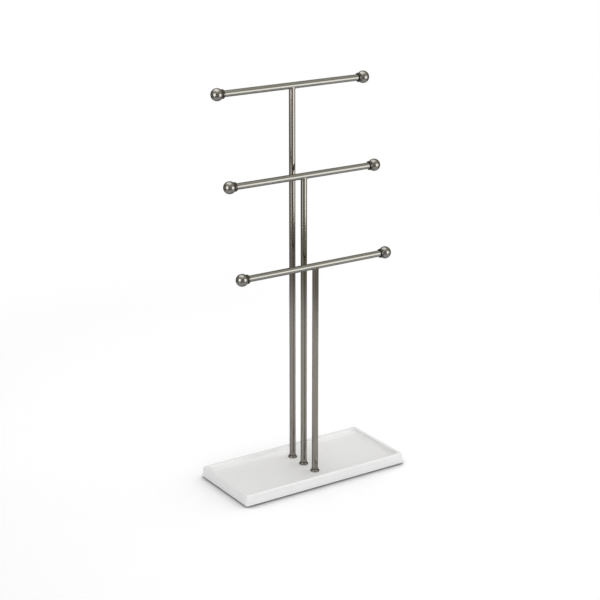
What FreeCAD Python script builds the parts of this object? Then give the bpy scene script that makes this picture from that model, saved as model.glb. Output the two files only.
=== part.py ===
"""Three-tier jewelry stand: three T-shaped tube hangers screwed down to a shallow tray.

Millimetres. +Z is up, +X runs along the crossbars and +Y points to the rear, where the
tallest hanger stands. The origin is the centre of the footprint, on the surface that the
stand rests on.
"""

import FreeCAD
import Part

import math
import os

from FreeCAD import Vector

# Tray, measured at the foot of its walls. The walls lean in towards the rim.
tray_length = 232.0
tray_width = 106.5
tray_height = 13.0
tray_corner_radius = 2.5
tray_wall_lean = 1.5
tray_foot_round = 0.8

# Recess in the tray's top, and the rim left around it.
rim_width = 4.0
rim_outer_round = 1.5
rim_inner_round = 0.8
recess_depth = 5.5
recess_wall_lean = 0.8
recess_cove_radius = 4.5
recess_corner_margin = 1.0

# Foam pad under the tray.
pad_thickness = 1.5
pad_inset = 3.0
pad_hole_margin = 1.0

# Hangers. A rise runs from the tray's floor to the axis of the crossbar.
rear_post_rise = 471.0
middle_post_rise = 368.0
front_post_rise = 264.0
post_pitch = 25.0
crossbar_length = 186.8
crossbar_diameter = 7.8
post_undersize = 0.2
tube_wall = 0.8
braze_radius = 1.5

# Turned collar plug in each crossbar end.
collar_diameter = 11.0
collar_width = 2.6
collar_edge_chamfer = 0.35
spigot_length = 8.0
spigot_tip_chamfer = 0.5
stud_diameter = 3.0
stud_length = 4.5
stud_tip_chamfer = 0.3

# Ball finial. The seat depth is what its flat takes off the ball.
ball_diameter = 15.0
ball_seat_depth = 2.0

# Flared ferrule around the foot of each post.
ferrule_diameter = 11.2
ferrule_height = 3.2
ferrule_edge_height = 0.9
ferrule_lip = 0.5
ferrule_hollow = 0.6

# Screw, washer and threaded insert that hold each post down.
thread_diameter = 4.0
thread_engagement = 9.0
screw_tip_chamfer = 0.5
head_diameter = 8.0
head_height = 2.6
head_round = 1.2
head_sink = 0.4
driver_slot_length = 4.6
driver_slot_width = 1.1
driver_slot_depth = 1.4
washer_diameter = 9.0
washer_thickness = 0.8
insert_lead = 4.0
insert_mouth_chamfer = 0.5

# Clearances, each per side.
push_fit = 0.05
thread_fit = 0.05
stud_fit = 0.1
washer_fit = 0.15
screw_hole_fit = 0.25
counterbore_fit = 0.75
stud_end_gap = 1.0

# Radii and heights that follow from the sizes above.
crossbar_radius = crossbar_diameter / 2
post_radius = (crossbar_diameter - post_undersize) / 2
thread_radius = thread_diameter / 2
washer_radius = washer_diameter / 2
ball_radius = ball_diameter / 2
collar_radius = collar_diameter / 2
counterbore_radius = washer_radius + counterbore_fit
counterbore_depth = washer_thickness + head_height + head_sink
tray_underside = pad_thickness
tray_top = tray_underside + tray_height
recess_floor = tray_top - recess_depth
washer_seat = tray_underside + counterbore_depth

# Each tier: its crossbar's name, its post's name, the post's place along Y and its rise.
tiers = (
    ("top", "rear", post_pitch, rear_post_rise),
    ("middle", "middle", 0.0, middle_post_rise),
    ("lower", "front", -post_pitch, front_post_rise),
)

X_AXIS = Vector(1, 0, 0)
Y_AXIS = Vector(0, 1, 0)
Z_AXIS = Vector(0, 0, 1)
SMALLEST_CORNER = 0.5
TOUCHING = 0.01


def save(shape, node):
    """Write one piece to its own STEP file."""
    shape.exportStep(os.path.join("parts", node + ".step"))


def at(shape, x, y, z):
    """A copy of a shape, moved."""
    copy = shape.copy()
    copy.translate(Vector(x, y, z))
    return copy


def rounded_rectangle(length, width, corner_radius, height):
    """A level rectangular wire with round corners, centred on the Z axis."""
    radius = max(corner_radius, SMALLEST_CORNER)
    centre_x = length / 2 - radius
    centre_y = width / 2 - radius
    arcs = []
    for side_x, side_y, start in ((1, 1, 0), (-1, 1, 90), (-1, -1, 180), (1, -1, 270)):
        centre = Vector(side_x * centre_x, side_y * centre_y, height)
        circle = Part.Circle(centre, Z_AXIS, radius)
        arcs.append(circle.toShape(math.radians(start), math.radians(start + 90)))
    edges = []
    for arc, following in zip(arcs, arcs[1:] + arcs[:1]):
        edges.append(arc)
        edges.append(Part.makeLine(arc.Vertexes[-1].Point, following.Vertexes[0].Point))
    return Part.Wire(edges)


def leaning_block(length, width, corner_radius, low, high, growth):
    """A block between two heights whose every side moves out by growth on its way up."""
    foot = rounded_rectangle(length, width, corner_radius, low)
    head = rounded_rectangle(length + 2 * growth, width + 2 * growth, corner_radius, high)
    return Part.makeLoft([foot, head], True, True)


def edges_at_height(shape, height):
    """The edges of a shape that lie level at one height."""
    found = []
    for edge in shape.Edges:
        box = edge.BoundBox
        if abs(box.ZMin - height) < TOUCHING and abs(box.ZMax - height) < TOUCHING:
            found.append(edge)
    return found


def edges_like(shape, patterns):
    """The edges of a shape that lie where the pattern edges lie."""
    found = []
    for edge in shape.Edges:
        for pattern in patterns:
            if edge.CenterOfMass.distanceToPoint(pattern.CenterOfMass) < TOUCHING:
                found.append(edge)
                break
    return found


def turned(points):
    """A solid turned about the Z axis from a closed outline of (radius, height) points."""
    corners = [Vector(radius, 0, height) for radius, height in points]
    outline = Part.makePolygon(corners + corners[:1])
    return Part.Face(outline).revolve(Vector(0, 0, 0), Z_AXIS, 360)


def pipe(outer_radius, length):
    """A length of the stand's tube, standing on the origin."""
    outside = Part.makeCylinder(outer_radius, length)
    bore = Part.makeCylinder(outer_radius - tube_wall, length)
    return outside.cut(bore)


def tray():
    """Moulded slab with a recess, and a counterbored screw hole under each post."""
    body = leaning_block(
        tray_length, tray_width, tray_corner_radius, tray_underside, tray_top, -tray_wall_lean
    )
    body = body.makeFillet(tray_foot_round, edges_at_height(body, tray_underside))
    body = body.makeFillet(rim_outer_round, edges_at_height(body, tray_top))

    # The cove at the foot of the recess stops short of the round at its mouth.
    cove_radius = min(recess_cove_radius, recess_depth - rim_inner_round)
    floor_inset = tray_wall_lean + rim_width + recess_wall_lean
    recess = leaning_block(
        tray_length - 2 * floor_inset,
        tray_width - 2 * floor_inset,
        cove_radius + recess_corner_margin,
        recess_floor,
        tray_top,
        recess_wall_lean,
    )
    mouth = edges_at_height(recess, tray_top)
    recess = recess.makeFillet(cove_radius, edges_at_height(recess, recess_floor))
    body = body.cut(recess)
    body = body.makeFillet(rim_inner_round, edges_like(body, mouth))

    screw_hole = Part.makeCylinder(thread_radius + screw_hole_fit, tray_height)
    counterbore = Part.makeCylinder(counterbore_radius, counterbore_depth)
    for _, _, post_y, _ in tiers:
        body = body.cut(at(screw_hole, 0, post_y, tray_underside))
        body = body.cut(at(counterbore, 0, post_y, tray_underside))
    return body


def foot_pad():
    """Thin foam sheet under the tray, set back from its edge and open under each screw."""
    outline = rounded_rectangle(
        tray_length - 2 * pad_inset, tray_width - 2 * pad_inset, tray_corner_radius - pad_inset, 0
    )
    sheet = Part.Face(outline).extrude(Vector(0, 0, pad_thickness))
    hole = Part.makeCylinder(counterbore_radius + pad_hole_margin, pad_thickness)
    for _, _, post_y, _ in tiers:
        sheet = sheet.cut(at(hole, 0, post_y, 0))
    return sheet


def crossbar():
    """Tube along X, centred on the origin."""
    bar = pipe(crossbar_radius, crossbar_length)
    bar.rotate(Vector(0, 0, 0), Y_AXIS, 90)
    return at(bar, -crossbar_length / 2, 0, 0)


def crossbar_envelope():
    """The crossbar without its bore, for shaping what meets it from below."""
    return Part.makeCylinder(
        crossbar_radius, crossbar_length, Vector(-crossbar_length / 2, 0, 0), X_AXIS
    )


def post(rise):
    """Tube on the tray's floor, its top end cut to saddle the crossbar."""
    return pipe(post_radius, rise).cut(at(crossbar_envelope(), 0, 0, rise))


def braze_joint(rise):
    """Hollow-faced ring of filler that fills the corner between a post and its crossbar."""
    bar = crossbar_envelope()
    stem = at(Part.makeCylinder(post_radius, rise), 0, 0, -rise)
    tee = bar.fuse(stem)
    # The seam between the two tubes is the only free-form edge of the tee.
    seam = [edge for edge in tee.Edges if edge.Curve.TypeId == "Part::GeomBSplineCurve"]
    filler = tee.makeFillet(braze_radius, seam).cut(bar).cut(stem)
    return at(filler, 0, 0, rise)


def collar_plug():
    """Flange on the crossbar's end, with a spigot down its bore and a stud up for the ball."""
    spigot_radius = crossbar_radius - tube_wall - push_fit
    stud_radius = stud_diameter / 2
    stud_top = collar_width + stud_length
    return turned([
        (0, -spigot_length),
        (spigot_radius - spigot_tip_chamfer, -spigot_length),
        (spigot_radius, spigot_tip_chamfer - spigot_length),
        (spigot_radius, 0),
        (collar_radius - collar_edge_chamfer, 0),
        (collar_radius, collar_edge_chamfer),
        (collar_radius, collar_width - collar_edge_chamfer),
        (collar_radius - collar_edge_chamfer, collar_width),
        (stud_radius, collar_width),
        (stud_radius, stud_top - stud_tip_chamfer),
        (stud_radius - stud_tip_chamfer, stud_top),
        (0, stud_top),
    ])


def ball_finial():
    """Ball with a flat that seats on the collar and a blind hole for the stud."""
    centre_height = collar_width + ball_radius - ball_seat_depth
    ball = Part.makeSphere(ball_radius, Vector(0, 0, centre_height))
    below_flat = Part.makeCylinder(ball_diameter, ball_diameter)
    ball = ball.cut(at(below_flat, 0, 0, collar_width - ball_diameter))
    hole = Part.makeCylinder(stud_diameter / 2 + stud_fit, stud_length + stud_end_gap)
    return ball.cut(at(hole, 0, 0, collar_width))


def foot_ferrule():
    """Ring that sweeps out from the post to a wide foot on the tray's floor."""
    bore_radius = post_radius + push_fit
    lip_radius = bore_radius + ferrule_lip
    foot_radius = ferrule_diameter / 2
    foot_edge = Vector(foot_radius, 0, ferrule_edge_height)
    lip_edge = Vector(lip_radius, 0, ferrule_height)
    slope = lip_edge - foot_edge
    inward = Vector(-slope.z, 0, slope.x).normalize()
    midway = (foot_edge + lip_edge) / 2 + inward * ferrule_hollow
    flare = Part.Arc(foot_edge, midway, lip_edge).toShape()
    sides = Part.makePolygon([
        lip_edge,
        Vector(bore_radius, 0, ferrule_height),
        Vector(bore_radius, 0, 0),
        Vector(foot_radius, 0, 0),
        foot_edge,
    ])
    outline = Part.Wire([flare] + sides.Edges)
    return Part.Face(outline).revolve(Vector(0, 0, 0), Z_AXIS, 360)


def threaded_insert():
    """Plug fixed in the post's lower end, bored for the screw."""
    length = thread_engagement + insert_lead
    outer_radius = post_radius - tube_wall - push_fit
    bore_radius = thread_radius + thread_fit
    return turned([
        (bore_radius + insert_mouth_chamfer, 0),
        (outer_radius, 0),
        (outer_radius, length),
        (bore_radius, length),
        (bore_radius, insert_mouth_chamfer),
    ])


def post_screw():
    """Pan-head screw whose head bears at the origin, with its shank up."""
    shank_length = recess_floor + thread_engagement - washer_seat + washer_thickness
    shank = turned([
        (0, 0),
        (thread_radius, 0),
        (thread_radius, shank_length - screw_tip_chamfer),
        (thread_radius - screw_tip_chamfer, shank_length),
        (0, shank_length),
    ])
    head = at(Part.makeCylinder(head_diameter / 2, head_height), 0, 0, -head_height)
    head = head.makeFillet(head_round, edges_at_height(head, -head_height))
    slot = Part.makeBox(driver_slot_length, driver_slot_width, driver_slot_depth)
    slot = at(slot, -driver_slot_length / 2, -driver_slot_width / 2, -head_height)
    crossing = slot.copy()
    crossing.rotate(Vector(0, 0, 0), Z_AXIS, 90)
    return head.fuse(shank).cut(slot).cut(crossing)


def post_washer():
    """Flat washer with its upper face at the origin."""
    disc = Part.makeCylinder(washer_radius, washer_thickness)
    hole = Part.makeCylinder(thread_radius + washer_fit, washer_thickness)
    return at(disc.cut(hole), 0, 0, -washer_thickness)


def bar_end(shape, side, post_y, bar_height):
    """A piece built up along Z from a bar's end, laid on the left or right end."""
    laid = shape.copy()
    laid.rotate(Vector(0, 0, 0), Y_AXIS, side * 90)
    return at(laid, side * crossbar_length / 2, post_y, bar_height)


def build():
    """Make every piece in its place and write it out."""
    os.makedirs("parts", exist_ok=True)
    save(tray(), "tray")
    save(foot_pad(), "foot_pad")

    screws = []
    washers = []
    for bar_name, post_name, post_y, rise in tiers:
        bar_height = recess_floor + rise
        save(at(crossbar(), 0, post_y, bar_height), "crossbar_" + bar_name)
        save(at(post(rise), 0, post_y, recess_floor), "post_" + post_name)
        save(at(braze_joint(rise), 0, post_y, recess_floor), "braze_joint_" + bar_name)
        for side, side_name in ((-1, "left"), (1, "right")):
            end_name = bar_name + "_" + side_name
            save(bar_end(collar_plug(), side, post_y, bar_height), "collar_plug_" + end_name)
            save(bar_end(ball_finial(), side, post_y, bar_height), "ball_finial_" + end_name)
        save(at(foot_ferrule(), 0, post_y, recess_floor), "foot_ferrule_" + post_name)
        save(at(threaded_insert(), 0, post_y, recess_floor), "threaded_insert_" + post_name)
        screws.append(at(post_screw(), 0, post_y, washer_seat - washer_thickness))
        washers.append(at(post_washer(), 0, post_y, washer_seat))
    save(Part.makeCompound(screws), "post_screws")
    save(Part.makeCompound(washers), "post_washers")


build()
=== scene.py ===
"""Three-tier jewelry stand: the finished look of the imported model.

Three T-shaped tube hangers stand in a row on a shallow resin tray. The pieces are modelled
in millimetres and finished in metres, each in the place where the frame has it.
"""

import math

import bmesh
import bpy
from mathutils import Matrix, Vector


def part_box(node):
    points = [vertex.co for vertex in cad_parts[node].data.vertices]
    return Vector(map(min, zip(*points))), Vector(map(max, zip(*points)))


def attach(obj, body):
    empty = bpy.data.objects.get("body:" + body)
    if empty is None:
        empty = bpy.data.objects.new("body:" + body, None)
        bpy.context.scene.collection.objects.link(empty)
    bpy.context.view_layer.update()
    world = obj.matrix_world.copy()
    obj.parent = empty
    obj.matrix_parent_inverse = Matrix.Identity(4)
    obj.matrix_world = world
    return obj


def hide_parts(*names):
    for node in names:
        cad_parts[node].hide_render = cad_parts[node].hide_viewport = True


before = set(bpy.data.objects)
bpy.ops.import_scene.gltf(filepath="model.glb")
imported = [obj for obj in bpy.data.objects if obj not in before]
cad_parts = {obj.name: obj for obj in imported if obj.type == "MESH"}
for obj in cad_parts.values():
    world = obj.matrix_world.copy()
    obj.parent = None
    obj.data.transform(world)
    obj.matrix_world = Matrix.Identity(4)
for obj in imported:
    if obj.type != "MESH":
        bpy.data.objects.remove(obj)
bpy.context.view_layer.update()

bl_info = {
    "name": "Three-tier jewelry stand",
    "version": (1, 0, 0),
    "blender": (4, 5, 0),
    "location": "3D View > Sidebar > Jewelry stand",
    "description": "Models and finishes a tube jewelry stand on a tray around its packed frame",
    "category": "Object",
}

Z_AXIS = Vector((0, 0, 1))

# Each crossbar and its post, and the two ends of a crossbar.
TIERS = (("top", "rear"), ("middle", "middle"), ("lower", "front"))
SIDES = ((-1, "left"), (1, "right"))

# Steps around a turned piece, a ball's steps from pole to pole, the angle past which an edge
# stays sharp, and how near its normal is to the Z axis for a face to be level.
TURNS = 96
BALL_STEPS = 64
SHARP_ANGLE = math.radians(35.0)
LEVEL_NORMAL = 0.9

METRES_PER_MILLIMETRE = 0.001

# Distances in millimetres below which points are one, or lie level, or lie on a ring.
WELD = 0.0005
LEVEL = 0.005
NEAR = 0.01

# Millimetres for the pieces' small details that the frame's boxes don't give.
SCREW_HOLE_RADIUS = 2.25
CUTTER_OVERRUN = 3.0
RECESS_CORNER_MARGIN = 1.0
FLAT_BAND = 0.25
PAD_ROUND = 0.2
PAD_BAND = 0.12
BROKEN_EDGE = 0.12
TUBE_BAND = 0.5
PUSH_FIT = 0.05
STUD_FIT = 0.1
COLLAR_BAND = 0.15
SPIGOT_TIP_ROUND = 0.4
STUD_TIP_ROUND = 0.3
STUD_HOLE_DEPTH = 5.5
SEAT_ROUND = 0.15
FERRULE_EDGE_ROUND = 0.18

# The ferrule's flare: its steps, how hollow it is, and how that draws it in and down.
FLARE_STEPS = 12
FLARE_HOLLOW = 0.6
FLARE_DRAW_IN = 0.74
FLARE_DRAW_DOWN = 0.67


def millimetres(value):
    """A length or a point in metres, in the millimetres that the pieces are modelled in."""
    return value * 1000.0


def node_box(node):
    """Lowest and highest corner of a frame node, in millimetres."""
    low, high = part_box(node)
    return millimetres(low), millimetres(high)


def middle_of(box):
    """The middle of a box."""
    return tuple((low + high) / 2 for low, high in zip(*box))


# ---------------------------------------------------------------------------- sizes and colours


def length_setting(name, description, default, low, high):
    """A setting for a length in metres."""
    return bpy.props.FloatProperty(
        name=name, description=description, default=default, min=low, max=high,
        subtype="DISTANCE", unit="LENGTH",
    )


def colour_setting(name, description, default):
    """A setting for a colour."""
    return bpy.props.FloatVectorProperty(
        name=name, description=description, default=default, min=0.0, max=1.0, size=3,
        subtype="COLOR",
    )


def share_setting(name, description, default, high=1.0):
    """A setting for a share or a factor."""
    return bpy.props.FloatProperty(
        name=name, description=description, default=default, min=0.0, max=high,
        subtype="FACTOR",
    )


def strength_setting(name, description, default, high=50.0):
    """A setting for the strength of a light, without a unit."""
    return bpy.props.FloatProperty(
        name=name, description=description, default=default, min=0.0, max=high
    )


class StandShape(bpy.types.PropertyGroup):
    """Sizes of the pieces that the frame's boxes don't give."""

    tray_corner: length_setting(
        "Tray corner", "Radius of the tray's four upright corners", 0.0025, 0.0016, 0.02
    )
    tray_lean: length_setting(
        "Tray wall lean",
        "How far each outer wall leans in from its foot to the rim",
        0.0015, 0.0, 0.006,
    )
    tray_foot_round: length_setting(
        "Tray foot round", "Round along the foot of the outer walls", 0.0008, 0.0001, 0.002
    )
    rim_width: length_setting(
        "Rim width", "Width of the rim around the recess", 0.004, 0.002, 0.012
    )
    rim_outer_round: length_setting(
        "Rim outer round", "Round along the outside of the rim", 0.0015, 0.0002, 0.003
    )
    rim_inner_round: length_setting(
        "Rim inner round", "Round along the inside of the rim", 0.0008, 0.0002, 0.0015
    )
    recess_lean: length_setting(
        "Recess wall lean",
        "How far each wall of the recess leans in on its way down",
        0.0008, 0.0, 0.004,
    )
    recess_cove: length_setting(
        "Recess cove",
        "Hollow round where the recess walls meet its floor",
        0.0045, 0.0005, 0.0046,
    )
    counterbore: length_setting(
        "Counterbore", "Diameter of the sunk seat under each post", 0.0105, 0.006, 0.02
    )
    pad_corner: length_setting(
        "Pad corner", "Radius of the foam pad's corners", 0.0005, 0.0004, 0.01
    )
    pad_hole: length_setting(
        "Pad hole",
        "Diameter of the holes in the foam pad, under the screws",
        0.0125, 0.006, 0.03,
    )
    tube_wall: length_setting(
        "Tube wall", "Wall thickness of the posts and crossbars", 0.0008, 0.0004, 0.002
    )
    collar_edge_round: length_setting(
        "Collar edge round", "Round on both edges of the collars", 0.0004, 0.0001, 0.001
    )
    stud: length_setting(
        "Stud", "Diameter of the stud that the ball is pressed on", 0.003, 0.001, 0.006
    )
    ferrule_edge: length_setting(
        "Ferrule edge",
        "Height of the upright edge around the ferrule's foot",
        0.0009, 0.0002, 0.003,
    )
    ferrule_lip: length_setting(
        "Ferrule lip",
        "Thickness of the ferrule where it meets the post",
        0.0005, 0.0002, 0.002,
    )


class StandFinish(bpy.types.PropertyGroup):
    """Colours and textures of the finishes."""

    nickel: colour_setting(
        "Dark nickel", "Colour of the plated crossbars", (0.218, 0.212, 0.198)
    )
    posts: colour_setting(
        "Post nickel",
        "Colour of the plated posts, a little warmer than the crossbars",
        (0.226, 0.211, 0.189),
    )
    polished: colour_setting(
        "Polished nickel", "Colour of the plated balls", (0.21, 0.204, 0.191)
    )
    # Painted shade: the collars' colour is far darker than the balls' nickel. It stands in for
    # the dark reflections and shade that the collars show beside the balls.
    collar: colour_setting(
        "Collar nickel painted shade", "Colour of the darker plated collars", (0.075, 0.071, 0.063)
    )
    # Painted shade: the ferrules' colour is darker than the balls' nickel. It stands in for the
    # dark reflections and shade around the feet of the posts.
    ferrule: colour_setting(
        "Ferrule nickel painted shade", "Colour of the plated foot ferrules", (0.14, 0.132, 0.118)
    )
    resin: colour_setting("White resin", "Colour of the moulded tray", (0.885, 0.885, 0.882))
    foam: colour_setting("Dark foam", "Colour of the pad under the tray", (0.028, 0.028, 0.03))
    brass: colour_setting("Brass", "Colour of the threaded inserts", (0.72, 0.55, 0.27))
    zinc: colour_setting("Zinc plate", "Colour of the screws and washers", (0.6, 0.6, 0.62))
    streaks: share_setting(
        "Tube streaks", "Strength of the fine streaks along the tubes", 1.0, 3.0
    )
    wear: share_setting("Wear", "Strength of the scuffs, scratches and pits", 1.0, 3.0)


class StandStage(bpy.types.PropertyGroup):
    """Camera, floor and lamps."""

    camera_turn: bpy.props.FloatProperty(
        name="Camera turn",
        description="How far the camera looks round from +Y towards +X",
        default=math.radians(33.4401), subtype="ANGLE", unit="ROTATION",
    )
    camera_tilt: bpy.props.FloatProperty(
        name="Camera tilt",
        description="How far the camera looks down",
        default=math.radians(18.4157), subtype="ANGLE", unit="ROTATION",
    )
    camera_distance: bpy.props.FloatProperty(
        name="Camera distance",
        description="From the camera to the point that it looks at",
        default=1.89485, min=0.1, subtype="DISTANCE", unit="LENGTH",
    )
    camera_aim: bpy.props.FloatVectorProperty(
        name="Camera aim",
        description="The point that the camera looks at",
        default=(-0.0054185, 0.0, 0.2246744), size=3, subtype="TRANSLATION", unit="LENGTH",
    )
    camera_lens: bpy.props.FloatProperty(
        name="Lens",
        description="Focal length on a sensor 36 mm wide, in millimetres",
        default=94.6584, min=10.0, max=400.0,
    )
    floor: colour_setting("Floor", "Colour of the floor", (0.9, 0.9, 0.9))
    floor_lift: share_setting(
        "Floor lift", "Light that the open floor shows on top of what falls on it", 0.2
    )
    # Painted shade: the floor's colour darkens beside the stand.
    contact: share_setting(
        "Contact shade", "How dark the floor turns right beside the stand", 0.62
    )
    surround: strength_setting(
        "Surround", "Strength of the white surround as a light", 0.45, 2.0
    )
    key: strength_setting(
        "Overhead key",
        "Radiance of the large lamp above the stand and a little behind it",
        2.0,
    )
    right_key: strength_setting("Right key", "Radiance of the large lamp at the right", 1.7)
    front_fill: strength_setting(
        "Front fill", "Radiance of the wide lamp low in front of the stand", 3.3
    )
    right_wing: strength_setting(
        "Right wing", "Radiance of the dimmer low lamp to the right of the bright one", 0.65
    )
    right_core: strength_setting(
        "Right core", "Radiance of the bright square lamp at the front right", 2.95
    )
    left_window: strength_setting(
        "Left window", "Radiance of the square window at the left", 3.4
    )
    left_sill: strength_setting(
        "Left sill", "Radiance of the low lamp at the left that the tall posts show", 3.2
    )
    curtain: share_setting(
        "Curtain", "Brightness of the dark curtain that shows in the metal", 0.47
    )
    ceiling: share_setting("Ceiling", "Brightness of the curtain's paler top", 1.0)
    apron: share_setting("Apron", "Brightness of the grey apron that shows in the metal", 0.38)
    apron_start: length_setting(
        "Apron start",
        "Where the grey apron starts, from the middle of the stage",
        0.55, 0.2, 2.0,
    )


# ------------------------------------------------------------------------------------- finishes


# The plated metal's colour near its outline, and the tint of the greys that it mirrors.
EDGE_TINT = (0.35, 0.34, 0.33)
WARM_GREY = (1.05, 1.0, 0.88)

# How rough each finish is before its grain and wear change that.
TUBE_ROUGHNESS = 0.11
POLISHED_ROUGHNESS = 0.08
RESIN_ROUGHNESS = 0.24
FOAM_ROUGHNESS = 0.86
BRASS_ROUGHNESS = 0.26
ZINC_ROUGHNESS = 0.3


class Wire:
    """An output of a shader node. Arithmetic on it adds Math nodes to its tree."""

    def __init__(self, tree, socket):
        self.tree = tree
        self.socket = socket

    def maths(self, operation, *values):
        node = self.tree.nodes.new("ShaderNodeMath")
        node.operation = operation
        for slot, value in zip(node.inputs, values):
            if isinstance(value, Wire):
                self.tree.links.new(value.socket, slot)
            else:
                slot.default_value = value
        return Wire(self.tree, node.outputs[0])

    def __add__(self, other):
        return self.maths("ADD", self, other)

    def __radd__(self, other):
        return self.maths("ADD", other, self)

    def __sub__(self, other):
        return self.maths("SUBTRACT", self, other)

    def __rsub__(self, other):
        return self.maths("SUBTRACT", other, self)

    def __mul__(self, other):
        return self.maths("MULTIPLY", self, other)

    def __rmul__(self, other):
        return self.maths("MULTIPLY", other, self)

    def larger(self, other):
        return self.maths("MAXIMUM", self, other)


class Finish:
    """A material or the world, while its nodes are being laid."""

    def __init__(self, name, kind="materials"):
        self.material = getattr(bpy.data, kind).new(name)
        self.material.use_nodes = True
        self.tree = self.material.node_tree
        self.tree.nodes.clear()

    def node(self, kind, settings=None, inputs=None, output=0):
        """Add a node: its type, its settings, and the values or links of its sockets."""
        node = self.tree.nodes.new("ShaderNode" + kind)
        for name, value in (settings or {}).items():
            if name == "stops":
                ramp = node.color_ramp.elements
                while len(ramp) < len(value):
                    ramp.new(1.0)
                for stop, (place, level) in zip(ramp, value):
                    stop.position = place
                    stop.color = (level, level, level, 1.0)
            else:
                setattr(node, name, value)
        for name, value in (inputs or {}).items():
            if isinstance(value, Wire):
                self.tree.links.new(value.socket, node.inputs[name])
            else:
                node.inputs[name].default_value = value
        return Wire(self.tree, node.outputs[output]) if node.outputs else None

    def place(self, scale, turn=(0.0, 0.0, 0.0)):
        """The object's own coordinates, scaled along each axis."""
        own = self.node("TexCoord", output="Object")
        inputs = {"Vector": own, "Rotation": turn, "Scale": scale}
        return self.node("Mapping", inputs=inputs)

    def noise(self, scale, detail=2.0, roughness=0.5, turn=(0.0, 0.0, 0.0)):
        """Noise from 0 to 1. The scale along each axis is in cells per metre."""
        inputs = {
            "Vector": self.place(scale, turn), "Scale": 1.0,
            "Detail": detail, "Roughness": roughness,
        }
        return self.node("TexNoise", inputs=inputs)

    def cells(self, scale):
        """Distance within round cells. The scale is in cells per metre."""
        inputs = {"Vector": self.place(everywhere(scale)), "Scale": 1.0}
        return self.node("TexVoronoi", {"feature": "F1"}, inputs, output="Distance")

    def ramp(self, value, *stops):
        """A grey value taken through (place, level) stops."""
        return self.node("ValToRGB", {"stops": stops}, {"Fac": value})

    def blend(self, amount, first, second):
        """A colour between two colours."""
        inputs = {0: amount, 6: as_colour(first), 7: as_colour(second)}
        return self.node("Mix", {"data_type": "RGBA"}, inputs, output=2)

    def vary(self, amount, colour, darkest, lightest):
        """A colour between a darker and a lighter factor of itself."""
        return self.blend(amount, shade(colour, darkest), shade(colour, lightest))

    def bump(self, height, distance, strength):
        """A normal from a height. The distance is in metres."""
        inputs = {"Height": height, "Distance": distance, "Strength": strength}
        return self.node("Bump", inputs=inputs)

    def surface(self, **inputs):
        """The material's surface, with the sockets' names in words joined by underscores."""
        named = {}
        for name, value in inputs.items():
            value = value if isinstance(value, (Wire, float)) else as_colour(value)
            named[name.replace("_", " ")] = value
        shader = self.node("BsdfPrincipled", inputs=named)
        self.node("OutputMaterial", inputs={"Surface": shader})
        return self.material


def as_colour(value):
    """A colour with its alpha, from three numbers, or a link left as it is."""
    return value if isinstance(value, Wire) else (*value[:3], 1.0)


def shade(colour, factor):
    """A colour made lighter or darker."""
    return tuple(min(1.0, channel * factor) for channel in colour)


def swing(noise, reach):
    """Noise from 0 to 1 as a change that goes either way, by half of its reach at most."""
    return (noise - 0.5) * reach


def everywhere(scale):
    """The same scale along every axis."""
    return (scale,) * 3


def looks():
    """The settings of the finishes."""
    return bpy.context.scene.stand_finish


def tube_nickel(name, along, plate):
    """Satin dark nickel on a drawn tube, streaked along one axis: 0 for X or 2 for Z."""
    look = looks()
    finish = Finish(name)

    def stretched(long, short):
        return tuple(long if axis == along else short for axis in range(3))

    streaks = finish.noise(stretched(12.0, 2600.0), detail=4.0, roughness=0.6)
    hairs = finish.noise(stretched(30.0, 9000.0), detail=2.0)
    clouds = finish.noise(stretched(35.0, 90.0), detail=3.0)
    rubs = finish.noise(stretched(260.0, 420.0), detail=5.0, roughness=0.7)
    scuffs = finish.ramp(rubs, (0.6, 0.0), (0.74, 1.0))

    tone = 0.5 + swing(streaks, 0.4 * look.streaks) + swing(clouds, 0.5)
    colour = finish.vary(tone, plate, 0.9, 1.1)
    roughness = TUBE_ROUGHNESS + swing(streaks, 0.05 * look.streaks) + swing(clouds, 0.05)
    roughness = roughness + scuffs * (0.07 * look.wear)
    height = streaks * 0.65 + hairs * 0.35
    return finish.surface(
        Base_Color=colour, Metallic=1.0, Roughness=roughness, Specular_Tint=EDGE_TINT,
        Normal=finish.bump(height, distance=0.000001, strength=0.2),
    )


def polished_nickel(name, plate):
    """Polished dark nickel on the turned pieces, in the colour given for each; on the collars
    and ferrules that colour is darkened as painted shade.
    """
    look = looks()
    finish = Finish(name)
    clouds = finish.noise(everywhere(150.0), detail=4.0)
    haze = finish.noise(everywhere(900.0), detail=5.0, roughness=0.65)
    swirls = finish.noise((700.0, 5200.0, 5200.0), detail=3.0, turn=(0.5, 0.3, 0.9))
    pits = finish.ramp(finish.cells(1500.0), (0.02, 1.0), (0.06, 0.0))
    colour = finish.vary(clouds, plate, 0.88, 1.12)
    roughness = POLISHED_ROUGHNESS + swing(haze, 0.06) + swing(swirls, 0.05 * look.wear)
    height = swirls * 0.5 + haze * 0.5 - pits * (0.3 * look.wear)
    return finish.surface(
        Base_Color=colour, Metallic=1.0, Roughness=roughness, Specular_Tint=EDGE_TINT,
        Normal=finish.bump(height, distance=0.000003, strength=0.4),
    )


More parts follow.
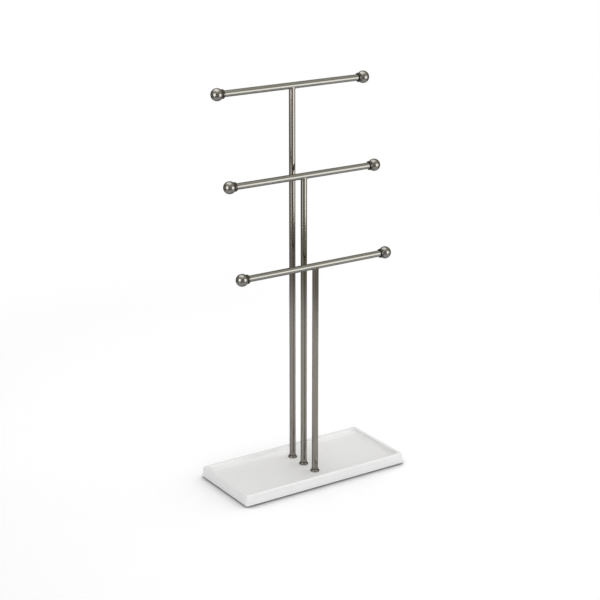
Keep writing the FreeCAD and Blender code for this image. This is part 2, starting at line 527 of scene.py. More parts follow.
def white_resin():
    """Glossy moulded resin, faintly uneven, with hairline scratches where things are laid."""
    look = looks()
    finish = Finish("white resin")
    clouds = finish.noise(everywhere(28.0), detail=3.0)
    grain = finish.noise(everywhere(1400.0), detail=3.0)
    ripple = finish.noise(everywhere(120.0), detail=2.0)
    one_way = finish.noise((60.0, 3800.0, 60.0), detail=2.0, turn=(0.0, 0.0, 0.5))
    other_way = finish.noise((3800.0, 60.0, 60.0), detail=2.0, turn=(0.0, 0.0, 0.2))
    scratches = finish.ramp(one_way, (0.66, 0.0), (0.72, 1.0))
    scratches = scratches + finish.ramp(other_way, (0.67, 0.0), (0.73, 1.0))
    spread = finish.noise(everywhere(45.0), detail=3.0)
    marks = scratches * finish.ramp(spread, (0.5, 0.0), (0.7, 1.0))
    colour = finish.vary(clouds, look.resin, 0.985, 1.012)
    roughness = RESIN_ROUGHNESS + swing(grain, 0.08) + swing(clouds, 0.06)
    roughness = roughness + marks * (0.2 * look.wear)
    height = ripple * 0.8 + grain * 0.05 - marks * (0.05 * look.wear)
    return finish.surface(
        Base_Color=colour, Roughness=roughness, IOR=1.5,
        Coat_Weight=0.25, Coat_Roughness=0.08,
        Normal=finish.bump(height, distance=0.00003, strength=0.5),
    )


def dark_foam():
    """Closed-cell foam sheet: fine open pits on the cut edge and faces, with painted shade
    inside them.
    """
    look = looks()
    finish = Finish("dark foam")
    cells = finish.cells(2400.0)
    coarse = finish.cells(900.0)
    dust = finish.noise(everywhere(500.0), detail=5.0, roughness=0.7)
    # The pits are painted darker than the open foam, as painted shade inside them.
    tone = finish.ramp(cells, (0.1, 0.0), (0.6, 1.0)) * 0.7 + dust * 0.3
    colour = finish.vary(tone, look.foam, 0.6, 1.7)
    height = cells * 0.7 + coarse * 0.3
    return finish.surface(
        Base_Color=colour, Roughness=FOAM_ROUGHNESS + swing(dust, 0.2),
        Normal=finish.bump(height, distance=0.00012, strength=0.7),
    )


def turned_brass():
    """Brass as it comes off the lathe, with fine rings around the piece."""
    look = looks()
    finish = Finish("turned brass")
    rings = finish.noise((80.0, 80.0, 6000.0), detail=3.0)
    stain = finish.noise(everywhere(260.0), detail=4.0)
    colour = finish.vary(stain, look.brass, 0.72, 1.08)
    roughness = BRASS_ROUGHNESS + swing(rings, 0.14) + stain * 0.08
    return finish.surface(
        Base_Color=colour, Metallic=1.0, Roughness=roughness,
        Normal=finish.bump(rings, distance=0.00001, strength=0.5),
    )


def zinc_plate():
    """Bright zinc plate on steel hardware, with a slightly crystalline haze."""
    look = looks()
    finish = Finish("zinc plate")
    crystals = finish.cells(2600.0)
    haze = finish.noise(everywhere(600.0), detail=4.0, roughness=0.65)
    colour = finish.vary(haze, look.zinc, 0.78, 1.1)
    roughness = ZINC_ROUGHNESS + swing(haze, 0.2) + crystals * 0.08
    return finish.surface(
        Base_Color=colour, Metallic=1.0, Roughness=roughness,
        Normal=finish.bump(crystals * 0.4 + haze * 0.6, distance=0.000012, strength=0.5),
    )


FINISHES = {
    "tube nickel across": lambda: tube_nickel("satin nickel crossbars", 0, looks().nickel),
    "tube nickel upright": lambda: tube_nickel("satin nickel posts", 2, looks().posts),
    "polished nickel": lambda: polished_nickel("polished nickel", looks().polished),
    # The collars take the same polished nickel, darkened far more as painted shade.
    "collar nickel painted shade": lambda: polished_nickel("collar nickel painted shade", looks().collar),
    # The ferrules take the same polished nickel, darkened as painted shade.
    "ferrule nickel painted shade": lambda: polished_nickel("ferrule nickel painted shade", looks().ferrule),
    "white resin": white_resin,
    "dark foam": dark_foam,
    "brass": turned_brass,
    "zinc": zinc_plate,
}
made_finishes = {}


def finish_of(name):
    """The material of that name, made the first time that it is asked for."""
    if name not in made_finishes:
        made_finishes[name] = FINISHES[name]()
    return made_finishes[name]


# -------------------------------------------------------------------------------- shaping tools


def turned(outline, closed=False):
    """A piece turned about Z from (radius, height) points, open at both ends on the axis."""
    shape = bmesh.new()
    points = [shape.verts.new((radius, 0.0, height)) for radius, height in outline]
    following = points[1:] + (points[:1] if closed else [])
    lines = [shape.edges.new(pair) for pair in zip(points, following)]
    bmesh.ops.spin(
        shape, geom=points + lines, cent=(0, 0, 0), axis=Z_AXIS,
        angle=math.tau, steps=TURNS, use_merge=True,
    )
    bmesh.ops.remove_doubles(shape, verts=shape.verts, dist=WELD)
    return shape


def move(shape, way):
    """Move a shape."""
    bmesh.ops.translate(shape, vec=way, verts=shape.verts)


def round_edges(shape, edges, amount, steps):
    """Round some edges of a shape."""
    bmesh.ops.bevel(
        shape, geom=edges, offset=amount, offset_type="OFFSET", segments=steps,
        profile=0.5, affect="EDGES", material=-1, clamp_overlap=True,
    )


def round_ring(shape, radius, height, amount, steps):
    """Round the circular edge that lies at a radius and a height."""
    ring = []
    for edge in shape.edges:
        if all(
            abs(end.co.xy.length - radius) < NEAR and abs(end.co.z - height) < NEAR
            for end in edge.verts
        ):
            ring.append(edge)
    round_edges(shape, ring, amount, steps)


def level_edges(shape, height):
    """The edges that lie level at a height."""
    return [
        edge for edge in shape.edges
        if all(abs(end.co.z - height) <= LEVEL for end in edge.verts)
    ]


def within(edges, reach, side):
    """Those of some edges that lie inside a rectangle around the Z axis."""
    return [
        edge for edge in edges
        if all(abs(end.co.x) < reach and abs(end.co.y) < side for end in edge.verts)
    ]


def beyond(edges, reach, side):
    """Those of some edges that lie outside a rectangle around the Z axis."""
    return [
        edge for edge in edges
        if all(abs(end.co.x) > reach or abs(end.co.y) > side for end in edge.verts)
    ]


def face_at(shape, height, up):
    """The largest level face at a height, where up is 1 if it looks up and -1 if down."""
    level = [
        face for face in shape.faces
        if abs(face.calc_center_median().z - height) < NEAR
        and face.normal.z * up > LEVEL_NORMAL
    ]
    return max(level, key=lambda face: face.calc_area())


def band_flat_faces(shape, faces, thickness):
    """Set a narrow band inside large flat faces, which keeps their shading flat."""
    for height, up in faces:
        flat = face_at(shape, height, up)
        bmesh.ops.inset_region(
            shape, faces=[flat], thickness=thickness, use_even_offset=True
        )


def slab(length, width, low, high, corner, growth, steps):
    """A block with four round upright corners. Its walls move out by growth on their way up."""
    shape = bmesh.new()
    bmesh.ops.create_cube(shape, size=1.0)
    bmesh.ops.scale(shape, vec=(length, width, high - low), verts=shape.verts)
    move(shape, (0, 0, (low + high) / 2))
    top = [vert for vert in shape.verts if vert.co.z > (low + high) / 2]
    spread = ((length + 2 * growth) / length, (width + 2 * growth) / width, 1.0)
    bmesh.ops.scale(shape, vec=spread, verts=top)
    upright = [
        edge for edge in shape.edges
        if abs(edge.verts[0].co.z - edge.verts[1].co.z) > WELD
    ]
    round_edges(shape, upright, corner, steps)
    return shape


def laid_on_end(shape, side, place):
    """Turn a piece built up along Z onto the left or right end of a crossbar."""
    bmesh.ops.rotate(
        shape, cent=(0, 0, 0), matrix=Matrix.Rotation(side * math.pi / 2, 3, "Y"),
        verts=shape.verts,
    )
    move(shape, place)


def drill(rings, place):
    """A cutter turned from (radius, height) points, over a place in plan."""
    cutter = turned([(0, rings[0][1]), *rings, (0, rings[-1][1])])
    move(cutter, (place[0], place[1], 0))
    return cutter


def joined(shapes):
    """Several shapes as one."""
    whole = bmesh.new()
    for shape in shapes:
        mesh = bpy.data.meshes.new("part")
        shape.to_mesh(mesh)
        shape.free()
        whole.from_mesh(mesh)
        bpy.data.meshes.remove(mesh)
    return whole


def cut_away(shape, cutters):
    """A shape with other shapes taken out of it."""
    holders = []
    for name, form in (("blank", shape), ("cutter", joined(cutters))):
        bmesh.ops.recalc_face_normals(form, faces=form.faces)
        mesh = bpy.data.meshes.new(name)
        form.to_mesh(mesh)
        form.free()
        holder = bpy.data.objects.new(name, mesh)
        bpy.context.scene.collection.objects.link(holder)
        holders.append(holder)
    blank, cutter = holders
    cut = blank.modifiers.new("cut", "BOOLEAN")
    cut.operation = "DIFFERENCE"
    cut.solver = "EXACT"
    cut.object = cutter
    bpy.context.view_layer.update()
    result = bmesh.new()
    result.from_object(blank, bpy.context.evaluated_depsgraph_get())
    for holder in holders:
        mesh = holder.data
        bpy.data.objects.remove(holder)
        bpy.data.meshes.remove(mesh)
    return result


def finished(shape, name, finish, node):
    """Turn a shape in millimetres into the piece of the stand that stands for a frame node."""
    bmesh.ops.remove_doubles(shape, verts=shape.verts, dist=WELD)
    bmesh.ops.dissolve_degenerate(shape, edges=shape.edges, dist=WELD)
    bmesh.ops.recalc_face_normals(shape, faces=shape.faces)
    if shape.calc_volume(signed=True) < 0:
        bmesh.ops.reverse_faces(shape, faces=shape.faces)
    bmesh.ops.scale(shape, vec=(METRES_PER_MILLIMETRE,) * 3, verts=shape.verts)
    mesh = bpy.data.meshes.new(name)
    shape.to_mesh(mesh)
    shape.free()
    mesh.shade_smooth()
    mesh.set_sharp_from_angle(angle=SHARP_ANGLE)
    mesh.materials.append(finish_of(finish))
    piece = bpy.data.objects.new(name, mesh)
    bpy.context.scene.collection.objects.link(piece)
    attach(piece, "root")
    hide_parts(node)
    return piece


def refinish(node, finish):
    """Give a frame node that keeps its shape the finish of that name."""
    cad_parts[node].material_slots[0].material = finish_of(finish)


# --------------------------------------------------------------------------------------- pieces


class STAND_OT_tray(bpy.types.Operator):
    """Model the moulded tray with its recess and the sunk screw seats under the posts"""

    bl_idname = "stand.tray"
    bl_label = "Tray"

    def execute(self, context):
        size = context.scene.stand_shape
        low, high = node_box("tray")
        floor = node_box("foot_ferrule_middle")[0].z
        lean = millimetres(size.tray_lean)
        rim = millimetres(size.rim_width)
        cove = millimetres(size.recess_cove)
        recess_lean = millimetres(size.recess_lean)
        foot_round = millimetres(size.tray_foot_round)
        # The walls are widest just above the foot's round.
        spare = 2 * lean * foot_round / (high.z - low.z)
        length = high.x - low.x + spare
        width = high.y - low.y + spare
        inset = 2 * (lean + rim + recess_lean)
        corner = millimetres(size.tray_corner)
        recess_corner = cove + RECESS_CORNER_MARGIN
        outside = slab(length, width, low.z, high.z, corner, -lean, steps=12)
        recess = slab(
            length - inset, width - inset, floor, high.z, recess_corner, recess_lean,
            steps=12,
        )
        for block in (outside, recess):
            lid = face_at(block, high.z, 1)
            bmesh.ops.delete(block, geom=[lid], context="FACES_ONLY")
        bmesh.ops.reverse_faces(recess, faces=recess.faces)
        shape = joined([outside, recess])
        mouths = [edge for edge in shape.edges if edge.is_boundary]
        bmesh.ops.bridge_loops(shape, edges=mouths)
        bmesh.ops.recalc_face_normals(shape, faces=shape.faces)

        reach = length / 2 - lean - rim / 2
        side = width / 2 - lean - rim / 2
        rim_edges = level_edges(shape, high.z)
        mouth_edges = within(rim_edges, reach, side)
        outer_edges = beyond(rim_edges, reach, side)
        floor_edges = within(level_edges(shape, floor), reach, side)
        round_edges(shape, floor_edges, cove, steps=12)
        round_edges(shape, mouth_edges, millimetres(size.rim_inner_round), steps=6)
        round_edges(shape, outer_edges, millimetres(size.rim_outer_round), steps=10)
        round_edges(shape, level_edges(shape, low.z), foot_round, steps=5)
        band_flat_faces(shape, ((floor, 1), (low.z, -1)), FLAT_BAND)

        bore = millimetres(size.counterbore) / 2
        seat = node_box("post_washers")[1].z
        below, above = low.z - CUTTER_OVERRUN, floor + CUTTER_OVERRUN
        rings = (
            (bore, below), (bore, seat), (SCREW_HOLE_RADIUS, seat), (SCREW_HOLE_RADIUS, above)
        )
        cutters = [drill(rings, middle_of(node_box("post_" + post))) for _, post in TIERS]
        finished(
            cut_away(shape, cutters), "tray_shell", "white resin", "tray"
        )
        return {"FINISHED"}


class STAND_OT_foot_pad(bpy.types.Operator):
    """Model the foam pad under the tray, with its edge rounded over by the weight on it"""

    bl_idname = "stand.foot_pad"
    bl_label = "Foam pad"

    def execute(self, context):
        size = context.scene.stand_shape
        low, high = node_box("foot_pad")
        corner = millimetres(size.pad_corner)
        shape = slab(
            high.x - low.x, high.y - low.y, low.z, high.z, corner, 0.0, steps=8
        )
        round_edges(shape, level_edges(shape, low.z), PAD_ROUND, steps=3)
        band_flat_faces(shape, ((high.z, 1), (low.z, -1)), PAD_BAND)
        hole = millimetres(size.pad_hole) / 2
        rings = ((hole, low.z - CUTTER_OVERRUN), (hole, high.z + CUTTER_OVERRUN))
        punches = [drill(rings, middle_of(node_box("post_" + post))) for _, post in TIERS]
        pad = finished(
            cut_away(shape, punches), "foam_pad", "dark foam", "foot_pad"
        )
        return {"FINISHED"}


class STAND_OT_crossbars(bpy.types.Operator):
    """Model the three level tubes, with the ends faced and broken"""

    bl_idname = "stand.crossbars"
    bl_label = "Crossbars"

    def execute(self, context):
        wall = millimetres(context.scene.stand_shape.tube_wall)
        for tier, _ in TIERS:
            low, high = box = node_box("crossbar_" + tier)
            radius = (high.z - low.z) / 2
            length = high.x - low.x
            shape = turned([
                (radius - wall, 0), (radius, 0), (radius, TUBE_BAND),
                (radius, length - TUBE_BAND), (radius, length), (radius - wall, length),
            ], closed=True)
            for end in (0, length):
                round_ring(shape, radius, end, BROKEN_EDGE, steps=2)
            laid_on_end(shape, 1, (low.x, *middle_of(box)[1:]))
            finished(
                shape, "crossbar_tube_" + tier, "tube nickel across",
                "crossbar_" + tier,
            )
        return {"FINISHED"}


class STAND_OT_posts(bpy.types.Operator):
    """Model the three upright tubes, coped at the top to fit under their crossbars"""

    bl_idname = "stand.posts"
    bl_label = "Posts"

    def execute(self, context):
        wall = millimetres(context.scene.stand_shape.tube_wall)
        for tier, post in TIERS:
            low, high = box = node_box("post_" + post)
            bar_low, bar_high = bar = node_box("crossbar_" + tier)
            bar_radius = (bar_high.z - bar_low.z) / 2
            radius = (high.x - low.x) / 2
            top = middle_of(bar)[2] - low.z
            shape = turned([
                (radius - wall, 0), (radius, 0), (radius, TUBE_BAND), (radius, top),
                (radius - wall, top),
            ], closed=True)
            round_ring(shape, radius, 0, BROKEN_EDGE, steps=2)
            for vert in shape.verts:
                if vert.co.z > top - NEAR:
                    vert.co.z = top - math.sqrt(bar_radius ** 2 - vert.co.y ** 2)
            move(shape, (*middle_of(box)[:2], low.z))
            finished(
                shape, "post_tube_" + post, "tube nickel upright",
                "post_" + post,
            )
        return {"FINISHED"}


class STAND_OT_braze_joints(bpy.types.Operator):
    """Finish the smooth braze fillets under the crossbars, which keep the frame's shape"""

    bl_idname = "stand.braze_joints"
    bl_label = "Braze joints"

    def execute(self, context):
        for tier, _ in TIERS:
            refinish("braze_joint_" + tier, "tube nickel upright")
        return {"FINISHED"}


class STAND_OT_collar_plugs(bpy.types.Operator):
    """Turn the six collars, each with its spigot and stud, with the edges rounded"""

    bl_idname = "stand.collar_plugs"
    bl_label = "Collar plugs"

    def execute(self, context):
        size = context.scene.stand_shape
        edge = millimetres(size.collar_edge_round)
        stud = millimetres(size.stud) / 2
        wall = millimetres(size.tube_wall)
        for tier, _ in TIERS:
            bar_low, bar_high = node_box("crossbar_" + tier)
            bar_radius = (bar_high.z - bar_low.z) / 2
            for side, side_name in SIDES:
                end = tier + "_" + side_name
                low, high = box = node_box("collar_plug_" + end)
                ball_low, ball_high = node_box("ball_finial_" + end)
                inner = bar_high.x if side > 0 else -bar_low.x
                width = (ball_low.x if side > 0 else -ball_high.x) - inner
                deep = inner - (low.x if side > 0 else -high.x)
                tip = (high.x if side > 0 else -low.x) - inner
                radius = (high.z - low.z) / 2
                spigot = bar_radius - wall - PUSH_FIT
                band = edge + COLLAR_BAND
                shape = turned([
                    (0, -deep), (spigot, -deep), (spigot, 0), (radius, 0), (radius, band),
                    (radius, width - band), (radius, width), (stud, width), (stud, tip),
                    (0, tip),
                ])
                round_ring(shape, radius, 0, edge, steps=5)
                round_ring(shape, radius, width, edge, steps=5)
                round_ring(shape, spigot, -deep, SPIGOT_TIP_ROUND, steps=2)
                round_ring(shape, stud, tip, STUD_TIP_ROUND, steps=2)
                laid_on_end(shape, side, (side * inner, *middle_of(box)[1:]))
                # The collars take the darker nickel whose colour is painted shade.
                finished(
                    shape, "collar_" + end, "collar nickel painted shade",
                    "collar_plug_" + end,
                )
        return {"FINISHED"}


class STAND_OT_ball_finials(bpy.types.Operator):
    """Model the six polished balls, each with its seat flat and the blind hole for the stud"""

    bl_idname = "stand.ball_finials"
    bl_label = "Ball finials"

    def execute(self, context):
        size = context.scene.stand_shape
        hole = millimetres(size.stud) / 2 + STUD_FIT
        for tier, _ in TIERS:
            for side, side_name in SIDES:
                end = tier + "_" + side_name
                low, high = box = node_box("ball_finial_" + end)
                seat = low.x if side > 0 else -high.x
                pole = high.x if side > 0 else -low.x
                radius = (high.z - low.z) / 2
                centre = pole - radius - seat
                shape = bmesh.new()
                bmesh.ops.create_uvsphere(
                    shape, u_segments=TURNS, v_segments=BALL_STEPS, radius=radius
                )
                move(shape, (0, 0, centre))
                bmesh.ops.bisect_plane(
                    shape, geom=shape.verts[:] + shape.edges[:] + shape.faces[:], dist=WELD,
                    plane_co=(0, 0, 0), plane_no=-Z_AXIS, clear_outer=True,
                )
                mouth = [edge for edge in shape.edges if edge.is_boundary]
                flat = bmesh.ops.contextual_create(shape, geom=mouth)["faces"][0]
                seat_radius = max(vert.co.xy.length for vert in flat.verts)
                round_edges(shape, list(flat.edges), SEAT_ROUND, steps=3)
                flat = face_at(shape, 0.0, -1)
                bmesh.ops.inset_region(
                    shape, faces=[flat], thickness=seat_radius - SEAT_ROUND - hole,
                    use_even_offset=True,
                )
                bottom = bmesh.ops.extrude_discrete_faces(shape, faces=[flat])["faces"][0]
                bmesh.ops.translate(shape, vec=(0, 0, STUD_HOLE_DEPTH), verts=bottom.verts)
                laid_on_end(shape, side, (side * seat, *middle_of(box)[1:]))
                finished(
                    shape, "ball_" + end, "polished nickel",
                    "ball_finial_" + end,
                )
        return {"FINISHED"}


class STAND_OT_foot_ferrules(bpy.types.Operator):
    """Turn the flared rings around the feet of the posts"""

    bl_idname = "stand.foot_ferrules"
    bl_label = "Foot ferrules"

    def execute(self, context):
        size = context.scene.stand_shape
        edge = millimetres(size.ferrule_edge)
        lip = millimetres(size.ferrule_lip)
        for _, post in TIERS:
            low, high = box = node_box("foot_ferrule_" + post)
            post_low, post_high = node_box("post_" + post)
            radius = (high.x - low.x) / 2
            height = high.z - low.z
            bore = (post_high.x - post_low.x) / 2 + PUSH_FIT
            # The flare hollows towards the post between the foot's edge and the lip.
            flare = []
            for step in range(FLARE_STEPS + 1):
                part = step / FLARE_STEPS
                sag = FLARE_HOLLOW * 4 * part * (1 - part)
                out = radius + (bore + lip - radius) * part - sag * FLARE_DRAW_IN
                up = edge + (height - edge) * part - sag * FLARE_DRAW_DOWN
                flare.append((out, up))
            shape = turned([(bore, 0), (radius, 0), *flare, (bore, height)], closed=True)
            round_ring(shape, radius, edge, FERRULE_EDGE_ROUND, steps=3)
            round_ring(shape, radius, 0, BROKEN_EDGE, steps=2)
            move(shape, (*middle_of(box)[:2], low.z))
            # The ferrules take the darker nickel whose colour is painted shade.
            finished(
                shape, "ferrule_" + post, "ferrule nickel painted shade",
                "foot_ferrule_" + post,
            )
        return {"FINISHED"}


class STAND_OT_post_fixings(bpy.types.Operator):
    """Finish the screws, washers and threaded inserts that hold the posts down"""

    bl_idname = "stand.post_fixings"
    bl_label = "Post fixings"

    def execute(self, context):
        for node in ("post_screws", "post_washers"):
            refinish(node, "zinc")
        for _, post in TIERS:
            refinish("threaded_insert_" + post, "brass")
        return {"FINISHED"}


# ---------------------------------------------------------------------------------------- stage


# Metres for the stage: the floor, where it turns into plain white, and the curtain and apron.
FLOOR_RADIUS = 6.0
FLOOR_FADE = (0.45, 0.9)
SHEET_RADIUS = 2.2
CURTAIN_TOP_RADIUS = 0.3
CURTAIN_HEIGHT = 2.6
APRON_LIFT = 0.002
APRON_EDGE = 0.25

# Heights in metres over which the gap in the curtain closes and the curtain turns paler, and
# the gap's half angles in degrees.
GAP_CLOSES = (0.3, 0.6)
CURTAIN_PALES = (1.0, 1.6)
GAP_ANGLES = (16.0, 30.0)

# The apron's paler stretch: its azimuth and its half angles in degrees.
PALE_STRETCH = (-77.0, 6.0, 16.0)

# How near in metres the stand has to be for the painted contact shade on the floor, and the
# shares of open space over which that painted shade ends and the floor's own glow starts.
SHADE_REACH = 0.12
SHADE_ENDS = (0.42, 0.95)
LIFT_STARTS = (0.6, 1.0)

WHITE = (1.0, 1.0, 1.0)
APRON_EDGE_GREY = (0.95, 0.95, 0.95)
STRETCH_GREY = (0.6, 0.6, 0.6)

# Each lamp's name and the setting of its radiance, its width and height in metres, its azimuth
# and elevation in degrees, its distance from the point on the Z axis that it faces and that
# point's height in metres, and whether it shows in gloss and lights matt surfaces.
LAMPS = (
    ("overhead key", "key", (1.02, 1.45), -168.0, 79.0, 1.5, 0.02, True, True),
    ("right key", "right_key", (1.0, 1.0), 85.0, 27.0, 1.4, 0.02, False, True),
    ("front fill", "front_fill", (1.2, 0.8), -29.0, 5.0, 1.6, 0.02, False, True),
    ("right core", "right_core", (0.7, 0.7), 28.0, 0.0, 0.85, 0.43, True, False),
    ("right wing", "right_wing", (0.4, 0.45), 66.0, 0.0, 0.95, 0.27, True, True),
    ("left window", "left_window", (0.7, 0.7), -76.0, 0.0, 1.0, 0.63, True, False),
    ("left sill", "left_sill", (0.24, 0.28), -74.0, 0.0, 1.1, 0.14, True, False),
)

# Millimetres for the width of the camera's sensor, and metres for the range that it sees.
SENSOR_WIDTH = 36.0
SIGHT_RANGE = (0.05, 50.0)


def outward(azimuth, elevation=0.0):
    """The direction at an azimuth and an elevation in degrees. Azimuth 0 is -Y and 90 is +X."""
    turn = math.radians(azimuth)
    rise = math.radians(elevation)
    return Vector((
        math.sin(turn) * math.cos(rise), -math.cos(turn) * math.cos(rise), math.sin(rise)
    ))


def softbox(name, setting, size, azimuth, elevation, distance, aim, gloss, fill):
    """A rectangular lamp that faces the Z axis, from its row in the table of lamps."""
    radiance = getattr(bpy.context.scene.stand_stage, setting)
    lamp = bpy.data.lights.new(name, "AREA")
    lamp.shape = "RECTANGLE"
    lamp.size, lamp.size_y = size
    lamp.energy = radiance * math.pi * size[0] * size[1]
    holder = bpy.data.objects.new(name, lamp)
    away = outward(azimuth, elevation)
    holder.location = Vector((0.0, 0.0, aim)) + away * distance
    holder.rotation_euler = away.to_track_quat("Z", "Y").to_euler()
    holder.visible_camera = False
    holder.visible_glossy = gloss
    holder.visible_diffuse = fill
    bpy.context.scene.collection.objects.link(holder)


def stage_sheet(name, shape, finish):
    """A sheet of the stage. It isn't part of the stand."""
    mesh = bpy.data.meshes.new(name)
    shape.to_mesh(mesh)
    shape.free()
    mesh.materials.append(finish.material)
    sheet = bpy.data.objects.new(name, mesh)
    bpy.context.scene.collection.objects.link(sheet)
    return sheet


def only_in_gloss(sheet):
    """Let a sheet show in polished surfaces, without a shadow or any light on matt ones."""
    sheet.visible_camera = False
    sheet.visible_diffuse = False
    sheet.visible_shadow = False


def shows_background(finish):
    """1 where the ray comes from the camera, or by way of gloss or glass."""
    camera, gloss, glass = (
        finish.node("LightPath", output=name)
        for name in ("Is Camera Ray", "Is Glossy Ray", "Is Transmission Ray")
    )
    return camera.larger(gloss).larger(glass)


def soft_step(finish, value, start, end):
    """0 before the start, 1 after the end and smooth between them."""
    inputs = {0: value, 1: start, 2: end, 3: 0.0, 4: 1.0}
    return finish.node("MapRange", {"interpolation_type": "SMOOTHSTEP"}, inputs)


def towards(finish, azimuth, inner, outer):
    """1 inside a wedge around an azimuth and 0 outside, by its inner and outer half angle."""
    spot = finish.node("TexCoord", output="Object")
    flat = finish.node("VectorMath", {"operation": "MULTIPLY"}, {0: spot, 1: (1, 1, 0)})
    unit = finish.node("VectorMath", {"operation": "NORMALIZE"}, {0: flat})
    inputs = {0: unit, 1: outward(azimuth)}
    along = finish.node("VectorMath", {"operation": "DOT_PRODUCT"}, inputs, output="Value")
    return soft_step(
        finish, along, math.cos(math.radians(outer)), math.cos(math.radians(inner))
    )


def from_centre(finish):
    """Distance from the middle of the stage."""
    spot = finish.node("TexCoord", output="Object")
    return finish.node("VectorMath", {"operation": "LENGTH"}, {0: spot}, output="Value")


def height_above(finish):
    """Height above the floor."""
    spot = finish.node("TexCoord", output="Object")
    return finish.node("SeparateXYZ", inputs={"Vector": spot}, output="Z")


def floor_finish():
    """Pale floor that keeps the stand's shadow, with a painted contact shade beside the stand,
    and turns into plain white further out.
    """
    stage = bpy.context.scene.stand_stage
    finish = Finish("studio floor")
    seen = shows_background(finish)
    out = soft_step(finish, from_centre(finish), *FLOOR_FADE)
    grain = finish.noise(everywhere(300.0), detail=3.0)
    colour = finish.vary(grain, stage.floor, 0.995, 1.005)
    reach = {"Distance": SHADE_REACH}
    space = finish.node("AmbientOcclusion", {"samples": 8}, reach, output="AO")
    contact = soft_step(finish, space, *SHADE_ENDS)
    # Painted contact shade: the floor's colour darkens where ambient occlusion finds the stand
    # close by.
    colour = finish.blend(contact, shade(stage.floor, stage.contact), colour)
    near = finish.node("BsdfDiffuse", inputs={"Color": colour})
    # The floor's glow also fades near the stand, which adds to the painted shade.
    gain = soft_step(finish, space, *LIFT_STARTS) * stage.floor_lift
    lift = finish.node("Emission", inputs={"Strength": seen * gain})
    lit = finish.node("AddShader", inputs={0: near, 1: lift})
    plain = finish.node("Emission", inputs={"Strength": seen})
    whole = finish.node("MixShader", inputs={0: out * seen, 1: lit, 2: plain})
    finish.node("OutputMaterial", inputs={"Surface": whole})
    return finish


def curtain_finish():
    """Dark curtain around the stage, open towards the background behind the stand."""
    stage = bpy.context.scene.stand_stage
    finish = Finish("dark curtain")
    low = 1.0 - soft_step(finish, height_above(finish), *GAP_CLOSES)
    gap = towards(finish, 180.0 - math.degrees(stage.camera_turn), *GAP_ANGLES) * low
    high = soft_step(finish, height_above(finish), *CURTAIN_PALES)
    wall = finish.vary(high, WARM_GREY, stage.curtain, stage.ceiling)
    light = finish.node("Emission", inputs={"Color": finish.blend(gap, wall, WHITE)})
    finish.node("OutputMaterial", inputs={"Surface": light})
    return finish


def apron_finish():
    """Grey apron on the floor around the stage, with a paler stretch at the front left."""
    stage = bpy.context.scene.stand_stage
    finish = Finish("grey apron")
    start = stage.apron_start
    edge = soft_step(finish, from_centre(finish), start, start + APRON_EDGE)
    pale = towards(finish, *PALE_STRETCH)
    tone = finish.blend(pale, shade(WARM_GREY, stage.apron), STRETCH_GREY)
    light = finish.node("Emission", inputs={"Color": finish.blend(edge, APRON_EDGE_GREY, tone)})
    finish.node("OutputMaterial", inputs={"Surface": light})
    return finish


def surround():
    """White world. It is plain white where it shows, and dimmer as a light."""
    stage = bpy.context.scene.stand_stage
    finish = Finish("surround", "worlds")
    seen = shows_background(finish)
    strength = seen * (1.0 - stage.surround) + stage.surround
    light = finish.node("Background", inputs={"Strength": strength, "Color": as_colour(WHITE)})
    finish.node("OutputWorld", inputs={"Surface": light})
    return finish.material


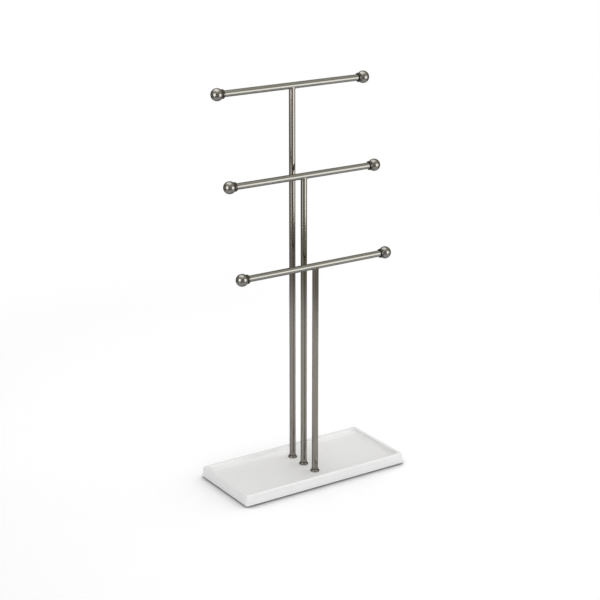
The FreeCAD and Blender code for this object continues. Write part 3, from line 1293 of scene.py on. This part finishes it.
class STAND_OT_stage(bpy.types.Operator):
    """Set up the floor, the surround, the lamps and the camera"""

    bl_idname = "stand.stage"
    bl_label = "Stage"

    def execute(self, context):
        scene = context.scene
        stage = scene.stand_stage
        scene.world = surround()

        ground = bmesh.new()
        bmesh.ops.create_circle(ground, cap_ends=True, segments=TURNS, radius=FLOOR_RADIUS)
        stage_sheet("floor", ground, floor_finish())

        curtain = bmesh.new()
        bmesh.ops.create_cone(
            curtain, cap_ends=False, segments=TURNS, radius1=SHEET_RADIUS,
            radius2=CURTAIN_TOP_RADIUS, depth=CURTAIN_HEIGHT,
        )
        move(curtain, (0, 0, CURTAIN_HEIGHT / 2))
        only_in_gloss(stage_sheet("curtain", curtain, curtain_finish()))

        apron = bmesh.new()
        bmesh.ops.create_circle(apron, segments=TURNS, radius=SHEET_RADIUS)
        rim = bmesh.ops.extrude_edge_only(apron, edges=apron.edges)["geom"]
        inner = [part for part in rim if isinstance(part, bmesh.types.BMVert)]
        shrink = stage.apron_start / SHEET_RADIUS
        bmesh.ops.scale(apron, vec=(shrink, shrink, 1.0), verts=inner)
        move(apron, (0, 0, APRON_LIFT))
        only_in_gloss(stage_sheet("apron", apron, apron_finish()))

        for lamp in LAMPS:
            softbox(*lamp)

        lens = bpy.data.cameras.new("camera")
        lens.sensor_width = SENSOR_WIDTH
        lens.sensor_fit = "HORIZONTAL"
        lens.lens = stage.camera_lens
        lens.clip_start, lens.clip_end = SIGHT_RANGE
        camera = bpy.data.objects.new("camera", lens)
        away = outward(-math.degrees(stage.camera_turn), math.degrees(stage.camera_tilt))
        camera.location = Vector(stage.camera_aim) + away * stage.camera_distance
        camera.rotation_euler = away.to_track_quat("Z", "Y").to_euler()
        scene.collection.objects.link(camera)
        scene.camera = camera
        scene.view_settings.view_transform = "Standard"
        return {"FINISHED"}


PIECES = (
    STAND_OT_tray,
    STAND_OT_foot_pad,
    STAND_OT_crossbars,
    STAND_OT_posts,
    STAND_OT_braze_joints,
    STAND_OT_collar_plugs,
    STAND_OT_ball_finials,
    STAND_OT_foot_ferrules,
    STAND_OT_post_fixings,
    STAND_OT_stage,
)


class VIEW3D_PT_jewelry_stand(bpy.types.Panel):
    """Sizes, finishes and pieces of the jewelry stand"""

    bl_label = "Jewelry stand"
    bl_idname = "VIEW3D_PT_jewelry_stand"
    bl_space_type = "VIEW_3D"
    bl_region_type = "UI"
    bl_category = "Jewelry stand"

    def draw(self, context):
        scene = context.scene
        for group in (scene.stand_shape, scene.stand_finish, scene.stand_stage):
            column = self.layout.column(align=True)
            for name in group.bl_rna.properties.keys():
                if name not in ("rna_type", "name"):
                    column.prop(group, name)
        for piece in PIECES:
            self.layout.operator(piece.bl_idname)


GROUPS = (
    ("stand_shape", StandShape),
    ("stand_finish", StandFinish),
    ("stand_stage", StandStage),
)


def register():
    """Add the stand's settings, operators and panel."""
    for name, group in GROUPS:
        bpy.utils.register_class(group)
        setattr(bpy.types.Scene, name, bpy.props.PointerProperty(type=group))
    for piece in PIECES:
        bpy.utils.register_class(piece)
    bpy.utils.register_class(VIEW3D_PT_jewelry_stand)


def unregister():
    """Take the stand's settings, operators and panel out again."""
    bpy.utils.unregister_class(VIEW3D_PT_jewelry_stand)
    for piece in reversed(PIECES):
        bpy.utils.unregister_class(piece)
    for name, group in reversed(GROUPS):
        delattr(bpy.types.Scene, name)
        bpy.utils.unregister_class(group)


def main():
    """Make every piece and the stage."""
    register()
    for piece in PIECES:
        family, action = piece.bl_idname.split(".")
        getattr(getattr(bpy.ops, family), action)()
    bpy.context.view_layer.update()


if __name__ == "__main__":
    main()
